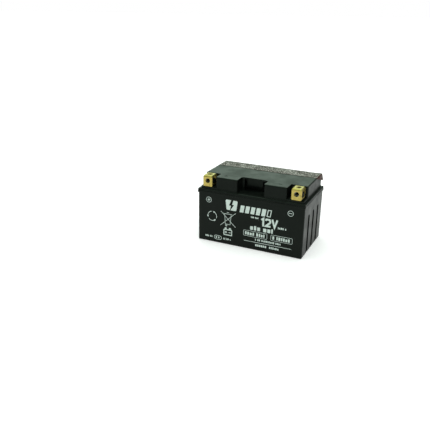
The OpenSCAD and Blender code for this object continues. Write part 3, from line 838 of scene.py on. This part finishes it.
@dataclass
class SealFoil:
    """The foil over the filler ports: a thin crinkled sheet with a curled pull tail."""

    body: str = "foil"
    thickness: float = 0.14
    gap: float = 0.03
    step: float = 0.9
    crinkle: float = 0.035
    front: float = 15.0
    back: float = 40.3
    cover_end: float = 71.4
    cover_back: float = 40.4
    edge_round: float = 1.5
    lifted: tuple[float, float] = (63.0, 69.0)
    port_r: float = 5.3
    port_y: float = 28.0
    pitch: float = 23.983
    dimple: float = 0.09
    bend_x: float = 71.0
    bend_run: float = 1.1
    bend_turn: float = 76.0
    tail_front: float = 1.3
    tail_corner: tuple[float, float] = (32.4, 7.4)
    tail_back: float = 9.8
    tail_steps: int = 12
    tail_wave: float = 0.25
    wrap_steps: int = 7
    finish: PrintedFoil = PrintedFoil()

    def build(self, shelf: EffectShelf) -> None:
        """Builds the sheet and its tail, and hides the plain CAD foil."""
        sheet = self._sheet(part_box("foil_seal")[0].x / MM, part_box("cover")[1].z / MM)
        piece = new_piece("foil_sheet", sheet, self.finish.build(shelf), self.body, smooth=True)
        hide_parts("foil_seal")
        LOG.info("foil_sheet: %d faces", len(piece.data.polygons))

    def _surface(self, x: float, y: float, top: float) -> tuple[Vector, Vector]:
        """A point on the foil's middle and its outward direction.

        Args:
            x: Distance along the battery; past the bend it runs on down the tail.
            y: Distance across the battery.
            top: Height of the cover's top.

        Returns:
            The point and the direction, in millimetres.
        """
        broad = noise.noise(Vector((x * 0.35, y * 0.35, 3.1)))
        rough = broad + 0.5 * noise.noise(Vector((x * 0.9, y * 0.9, 7.7)))
        lift = self.thickness / 2 + self.gap + self.crinkle * (0.5 + 0.5 * rough)
        if x <= self.bend_x:
            return self._on_cover(x, y, top, lift)
        run = x - self.bend_x
        full = math.radians(self.bend_turn)
        turn = min(run / self.bend_run, 1.0) * full
        radius = self.bend_run / full
        past = max(run - self.bend_run, 0.0)
        px = self.bend_x + radius * math.sin(turn) + past * math.cos(full)
        pz = top + lift - radius * (1 - math.cos(turn)) - past * math.sin(full)
        wave = self.tail_wave * noise.noise(Vector((run * 0.3, y * 0.25, 1.3))) * min(past / 3, 1.0)
        return Vector((px + wave, y, pz)), Vector((math.sin(turn), 0, math.cos(turn)))

    def _on_cover(self, x: float, y: float, top: float, lift: float) -> tuple[Vector, Vector]:
        """A point where the foil lies on the cover, round its back and left edges."""
        start, stop = self.lifted
        share = min(max((stop - x) / (stop - start), 0.0), 1.0)
        end_turn = self._edge_turn(-x - self.cover_end)
        back_turn = self._edge_turn(y - self.cover_back) * share
        level = min(math.cos(end_turn), math.cos(back_turn))
        out = Vector((-math.sin(end_turn), math.sin(back_turn), level)).normalized()
        near = min(math.hypot(x - (k - 2.5) * self.pitch, y - self.port_y) for k in range(6))
        sunk = self.dimple * max(0.0, 1.0 - (near / self.port_r) ** 2)
        return Vector((x, y, top - self.edge_round * (1 - level) - sunk)) + out * lift, out

    def _edge_turn(self, beyond: float) -> float:
        """How far a rounded edge has turned, at a distance beyond the edge."""
        return math.asin(min(max(beyond / self.edge_round + 1.0, 0.0), 1.0))

    def _stations(self, flat: float, length: float, edge: float) -> list[float]:
        """Distances from the flat's far end: even steps along it, then close ones round an edge.

        Args:
            flat: Length of the flat part.
            length: Length of the flat part and the part that goes round the edge, seen from above.
            edge: Where the edge itself is.

        Returns:
            The distances, from 0 up.
        """
        count = int(flat / self.step)
        full = self._edge_turn(length - edge)
        turns = [full * k / self.wrap_steps for k in range(1, self.wrap_steps + 1)]
        even = [flat * k / count for k in range(count + 1)]
        return even + [flat + self.edge_round * math.sin(turn) for turn in turns]

    def _sheet(self, left: float, top: float) -> bmesh.types.BMesh:
        """Makes the closed sheet as two skins joined at the rim."""
        flat_x = self.cover_end - self.edge_round + self.bend_x
        along = self._stations(flat_x, self.bend_x - left, self.cover_end + self.bend_x)
        flat_y = self.cover_back - self.edge_round - self.front
        across = self._stations(flat_y, self.back - self.front, self.cover_back - self.front)
        maker = bmesh.new()
        skins: list[list[list[bmesh.types.BMVert]]] = [[], []]
        for v in across:
            y = self.front + v
            reach = self._tail_reach(y)
            tail = [self.bend_x + reach * k / self.tail_steps for k in range(1, self.tail_steps + 1)]
            for side, skin in enumerate(skins):
                line = []
                for x in [*(self.bend_x - u for u in reversed(along)), *tail]:
                    point, out = self._surface(x, y, top)
                    line.append(maker.verts.new((point + out * (0.5 - side) * self.thickness) * MM))
                skin.append(line)
        outer, inner = skins
        rows, count = len(across) - 1, len(outer[0])
        for j in range(rows):
            for k in range(count - 1):
                maker.faces.new((outer[j][k], outer[j][k + 1], outer[j + 1][k + 1], outer[j + 1][k]))
                maker.faces.new((inner[j][k], inner[j + 1][k], inner[j + 1][k + 1], inner[j][k + 1]))
        for j in range(rows):
            for k in (0, count - 1):
                maker.faces.new((outer[j][k], outer[j + 1][k], inner[j + 1][k], inner[j][k]))
        for k in range(count - 1):
            for j in (0, rows):
                maker.faces.new((outer[j][k], inner[j][k], inner[j][k + 1], outer[j][k + 1]))
        return maker

    def _tail_reach(self, y: float) -> float:
        """How far the tail runs past the bend at one place across the foil."""
        corner_y, corner_reach = self.tail_corner
        if y < corner_y:
            share = (y - self.front) / (corner_y - self.front)
            return self.tail_front + (corner_reach - self.tail_front) * share
        return corner_reach + (self.tail_back - corner_reach) * (y - corner_y) / (self.back - corner_y)


@dataclass
class WeldBead:
    """The uneven bead that the hot-plate weld leaves between container and cover."""

    z: float = 72.0
    inset: float = 0.42
    radius: float = 0.26
    corner: float = 1.2
    step: float = 1.0
    sides: int = 8
    waviness: float = 0.28
    rise: float = 0.06

    def build(self, shelf: EffectShelf, material: bpy.types.Material) -> None:
        """Sweeps a wavy round section once round the seam."""
        path = self._path()
        maker = bmesh.new()
        rings = []
        for x, y, nx, ny in path:
            wave = noise.noise(Vector((x * 0.22, y * 0.22, 5.0)))
            r = self.radius * (1.0 + self.waviness * wave)
            ring = []
            for s in range(self.sides):
                a = 2 * math.pi * s / self.sides
                out = r * math.cos(a)
                z = self.z + self.rise * wave + r * 0.9 * math.sin(a)
                ring.append(maker.verts.new(((x + nx * out) * MM, (y + ny * out) * MM, z * MM)))
            rings.append(ring)
        for k, ring in enumerate(rings):
            nxt = rings[(k + 1) % len(rings)]
            for s in range(self.sides):
                other = (s + 1) % self.sides
                maker.faces.new((ring[s], nxt[s], nxt[other], ring[other]))
        new_piece("weld_bead", maker, material, body_of_node("container"), smooth=True)
        LOG.info("weld_bead: %d rings", len(rings))

    def _path(self) -> list[tuple[float, float, float, float]]:
        """Points round the seam with their outward directions."""
        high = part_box("container")[1]
        hx, hy = high.x / MM - self.inset, high.y / MM - self.inset
        r = self.corner
        walls = [
            ((hx, -hy + r), (hx, hy - r), (1, 0)),
            ((hx - r, hy), (-hx + r, hy), (0, 1)),
            ((-hx, hy - r), (-hx, -hy + r), (-1, 0)),
            ((-hx + r, -hy), (hx - r, -hy), (0, -1)),
        ]
        path = []
        for (x0, y0), (x1, y1), (nx, ny) in walls:
            count = int(math.hypot(x1 - x0, y1 - y0) / self.step)
            for k in range(count + 1):
                path.append((x0 + (x1 - x0) * k / count, y0 + (y1 - y0) * k / count, nx, ny))
            centre, base = (x1 - nx * r, y1 - ny * r), math.atan2(ny, nx)
            for k in range(1, int(90 / CORNER_STEP)):
                a = base + math.radians(CORNER_STEP * k)
                path.append((*on_circle(centre, r, a), math.cos(a), math.sin(a)))
        return path


# ---- Studio ----


@dataclass(frozen=True)
class Glow:
    """A soft bright or dark patch in the surroundings."""

    towards: Colour
    inner: float
    outer: float
    level: float


@dataclass
class Studio:
    """A pale floor, soft light all round and the camera."""

    camera_at: Colour = (0.23733, -0.64790, 0.30110)
    look_at: Colour = (-0.06913, 0.0, 0.02145)
    roll: float = 0.63
    lens: float = 44.58
    sensor: float = 36.0
    floor_size: float = 40.0
    floor_glow: float = 0.30
    floor_colours: tuple[Colour, Colour] = ((0.95, 0.80, 0.91), (0.97, 0.82, 0.93))
    side_level: float = 0.26
    overhead_level: float = 1.90
    room_tint: Colour = (0.79, 1.0, 0.84)
    glows: tuple[Glow, ...] = (
        Glow((-0.40, 0.84, 0.36), 12.0, 30.0, 1.75),
        Glow((0.36, 0.84, 0.40), 10.0, 26.0, 0.02),
    )

    def build(self) -> None:
        """Builds the floor, the surroundings and the camera."""
        self._world()
        self._floor()
        self._camera()
        LOG.info("studio: floor, surroundings and the camera")

    def _world(self) -> None:
        """White to the eye; to the battery, bright overhead and dimmer round the sides."""
        world = bpy.data.worlds.new("white_studio")
        world.use_nodes = True
        g = Graph(world.node_tree)
        background = world.node_tree.nodes["Background"]
        towards = g.node("ShaderNodeTexCoord").outputs["Generated"]
        height = g.axes(towards).outputs["Z"]
        level = g.remap(height, 0.50, 0.78, self.side_level, self.overhead_level)
        for glow in self.glows:
            aim = Vector(glow.towards).normalized()
            along = g.node("ShaderNodeVectorMath", {0: towards, 1: aim}, operation="DOT_PRODUCT")
            edge, core = (math.cos(math.radians(angle)) for angle in (glow.outer, glow.inner))
            share = g.remap(along.outputs["Value"], edge, core)
            keep = g.math("MULTIPLY", level, g.math("SUBTRACT", 1.0, share))
            level = g.math("ADD", keep, g.math("MULTIPLY", share, glow.level))
        seen = g.node("ShaderNodeLightPath").outputs["Is Camera Ray"]
        g.feed(background.inputs["Color"], g.mix(seen, colour4(self.room_tint), (1.0, 1.0, 1.0, 1.0)))
        level = g.math("ADD", g.math("MULTIPLY", level, g.math("SUBTRACT", 1.0, seen)), seen)
        g.feed(background.inputs["Strength"], level)
        bpy.context.scene.world = world
        bpy.context.scene.view_settings.view_transform = "Standard"

    def _floor(self) -> None:
        """A wide pale floor at the battery's base."""
        maker = bmesh.new()
        bmesh.ops.create_grid(maker, x_segments=4, y_segments=4, size=self.floor_size / 2)
        mesh = bpy.data.meshes.new("floor")
        maker.to_mesh(mesh)
        maker.free()
        material, g, shader = new_material("pale_floor")
        mottle = g.remap(g.noise(g.place(), 6.0, 3.0), 0.3, 0.7)
        g.feed(shader.inputs["Base Color"], g.mix(mottle, *map(colour4, self.floor_colours)))
        shader.inputs["Roughness"].default_value = 0.9
        shader.inputs["Specular IOR Level"].default_value = 0.1
        shader.inputs["Emission Color"].default_value = (1.0, 1.0, 1.0, 1.0)
        shader.inputs["Emission Strength"].default_value = self.floor_glow
        mesh.materials.append(material)
        floor = bpy.data.objects.new("floor", mesh)
        bpy.context.scene.collection.objects.link(floor)

    def _camera(self) -> None:
        """Adds the camera and makes it the scene's own."""
        data = bpy.data.cameras.new("camera")
        data.lens, data.sensor_width = self.lens, self.sensor
        data.clip_start, data.clip_end = 0.02, 50.0
        camera = bpy.data.objects.new("camera", data)
        towards = Vector(self.look_at) - Vector(self.camera_at)
        aim = towards.to_track_quat("-Z", "Y").to_matrix().to_4x4()
        turn = Matrix.Rotation(math.radians(self.roll), 4, "Z")
        camera.matrix_world = Matrix.Translation(self.camera_at) @ aim @ turn
        bpy.context.scene.collection.objects.link(camera)
        bpy.context.scene.camera = camera


# ---- The whole battery ----


def numbered(stem: str, count: int) -> tuple[str, ...]:
    """Names of numbered nodes, from 1."""
    return tuple(f"{stem}_{k}" for k in range(1, count + 1))


def dressed_parts() -> list[DressedNodes]:
    """Every part that keeps its CAD shape, with its finish."""
    case = MouldedPlastic("container_moulding")
    lid = MouldedPlastic("cover_moulding", roughness=0.34, dust=0.25)
    zinc = PlainSolid(
        "zinc_steel", (0.28, 0.28, 0.29), (0.16, 0.16, 0.15), 0.38,
        metallic=1.0, grain_size=0.5, grain_depth=0.02,
    )
    lead = PlainSolid("cast_lead", (0.16, 0.17, 0.18), (0.30, 0.31, 0.33), 0.45, metallic=0.9, grain_size=1.2)
    red = PlainSolid("red_resin", (0.35, 0.02, 0.015), (0.22, 0.01, 0.01), 0.25, coat=0.6, grain_depth=0.01)
    blue = PlainSolid("blue_resin", (0.01, 0.03, 0.20), (0.008, 0.02, 0.12), 0.25, coat=0.6, grain_depth=0.01)
    rubber = PlainSolid("valve_rubber", (0.018, 0.018, 0.018), (0.03, 0.03, 0.028), 0.65, grain_size=0.4)
    disc = PlainSolid(
        "sintered_disc", (0.62, 0.60, 0.55), (0.42, 0.40, 0.36), 0.9, grain_size=0.25, grain_depth=0.12
    )
    oxide = PlainSolid(
        "lead_oxide_paste", (0.085, 0.035, 0.018), (0.13, 0.06, 0.035), 0.85, grain_size=0.5, grain_depth=0.08
    )
    sponge = PlainSolid(
        "spongy_lead", (0.20, 0.21, 0.22), (0.13, 0.14, 0.15), 0.8,
        metallic=0.3, grain_size=0.5, grain_depth=0.08,
    )
    mat = PlainSolid(
        "glass_mat", (0.80, 0.80, 0.77), (0.66, 0.66, 0.63), 0.95, grain_size=0.3, grain_depth=0.1
    )
    joined = ("positive_post", "negative_post", *numbered("cell_connector", 5))
    return [
        DressedNodes("container", ("container",), case),
        DressedNodes("cover and nut rests", ("cover", "positive_nut_rest", "negative_nut_rest"), lid),
        DressedNodes("terminals", ("positive_terminal", "negative_terminal"), PassivatedBrass()),
        DressedNodes("nuts", ("positive_nut", "negative_nut"), zinc),
        DressedNodes("posts and connectors", joined, lead),
        DressedNodes("positive post seal", ("positive_post_seal",), red),
        DressedNodes("negative post seal", ("negative_post_seal",), blue),
        DressedNodes("relief valve cap", ("relief_valve_cap",), rubber),
        DressedNodes("flame arrestor", ("flame_arrestor",), disc),
        DressedNodes("positive plates", numbered("positive_plates", 6), oxide),
        DressedNodes("negative plates", numbered("negative_plates", 6), sponge),
        DressedNodes("separators", numbered("separators", 6), mat),
    ]


def main() -> None:
    """Builds the studio, dresses the frame and adds the pieces that lie on it."""
    logging.basicConfig(level=logging.INFO, format="%(name)s: %(message)s")
    shelf = EffectShelf()
    Studio().build()
    for part in dressed_parts():
        part.dress(shelf)
    FrontPrint().build(shelf)
    SealFoil().build(shelf)
    WeldBead().build(shelf, bpy.data.materials["container_moulding"])


if __name__ == "__main__":
    main()
